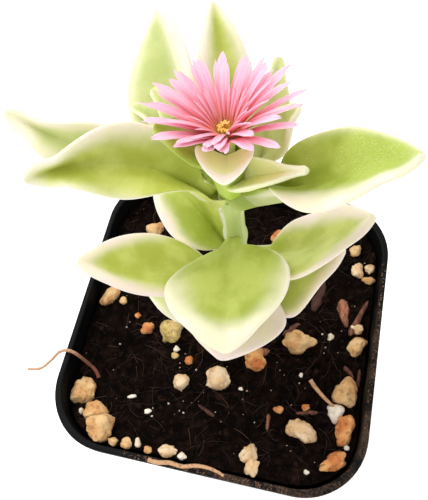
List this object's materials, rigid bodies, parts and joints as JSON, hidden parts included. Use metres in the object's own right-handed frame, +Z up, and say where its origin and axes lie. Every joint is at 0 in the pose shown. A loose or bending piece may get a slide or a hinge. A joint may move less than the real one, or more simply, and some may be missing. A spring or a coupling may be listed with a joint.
{
  "type": "potted baby sun rose",
  "caption": "Young variegated succulent with paired fleshy heart-shaped leaves and one open daisy-like pink flower, in a small square tapered pot with rounded corners",
  "frame": {"origin": "Centre of the pot's base, on the surface that the pot stands on.", "axes": "+Z is up. The pot's near side, the one closest to the camera in the picture, faces -Y; +X is to the right of it."},
  "size_m": [0.067, 0.06, 0.1234],
  "materials": {
    "pot_plastic": "thin black injection-moulded plastic, satin",
    "compost": "damp dark peat with pumice grains and bark chips",
    "dry_root": "dry fibrous root, matte",
    "stem": "smooth juicy green stem",
    "leaf": "fleshy succulent leaf, green with cream edges, finely grained",
    "calyx": "fleshy cream and pale green lobes, soft sheen",
    "petal": "thin silky pink petals, coral at the foot",
    "stamen": "powdery yellow-orange anthers"
  },
  "bodies": {
    "root": {"pot": "pot_plastic", "soil": "compost", "stray_root": "dry_root", "stem": "stem", "leaf_top_left": "leaf", "leaf_top_right": "leaf", "leaf_top_back": "leaf", "leaf_low_front": "leaf", "leaf_low_back": "leaf", "leaf_low_left": "leaf", "leaf_low_right": "leaf", "leaf_base_front": "leaf", "leaf_base_left": "leaf", "leaf_base_right": "leaf", "leaf_base_back": "leaf", "shoot_left": "leaf", "shoot_right": "leaf", "flower_calyx": "calyx", "flower_petals": "petal", "flower_stamens": "stamen"}
  },
  "joints": []
}
